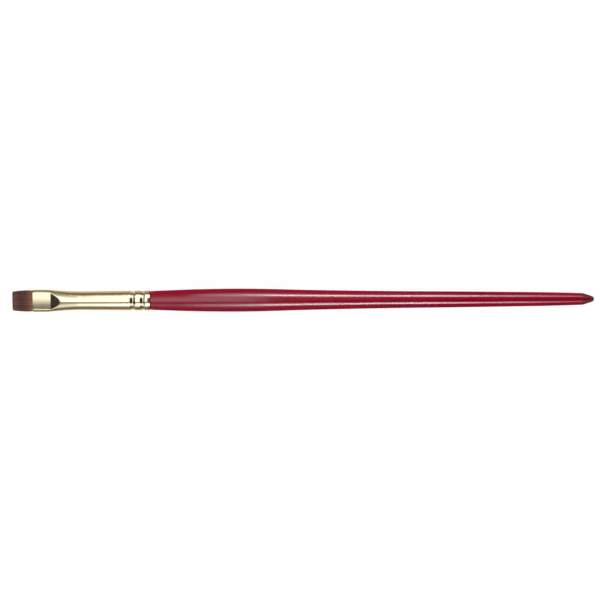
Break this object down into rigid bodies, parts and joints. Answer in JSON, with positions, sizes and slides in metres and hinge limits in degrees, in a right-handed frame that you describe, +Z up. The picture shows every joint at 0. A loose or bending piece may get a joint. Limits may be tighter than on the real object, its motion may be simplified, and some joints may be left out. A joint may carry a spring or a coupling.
{
  "type": "paint brush",
  "caption": "Long-handled flat artist's brush: short synthetic hair in a pressed, crimped metal ferrule on a lacquered, turned wooden handle.",
  "frame": {"origin": "on the table, under the middle of the brush's box", "axes": "+X from the hair to the tail of the handle, +Y across the flat of the hair, +Z up from the table; the brush's axis dips 0.94 degrees towards +X, because the brush rests on its belly and its tail"},
  "size_m": [0.285, 0.0112, 0.0116],
  "materials": {
    "lacquered_wood": "claret gloss lacquer over turned wood",
    "anodised_aluminium": "pale gold, polished and anodised",
    "synthetic_hair": "brown synthetic filaments, slightly glossy",
    "thread": "twisted cotton",
    "cured_resin": "clear amber, cured"
  },
  "bodies": {
    "brush": {"handle": "lacquered_wood", "ferrule": "anodised_aluminium", "tuft_root": "synthetic_hair", "binding_thread": "thread", "epoxy_plug": "cured_resin"},
    "hair": {"tuft": "synthetic_hair"}
  },
  "joints": [
    {"name": "tuft_flex", "type": "hinge", "parent": "brush", "child": "hair", "pos_m": [-0.13328, 0, 0.00749], "axis": [0, 1, 0], "range_deg": [-40, 40], "stiffness_Nm_per_rad": 0.002}
  ]
}
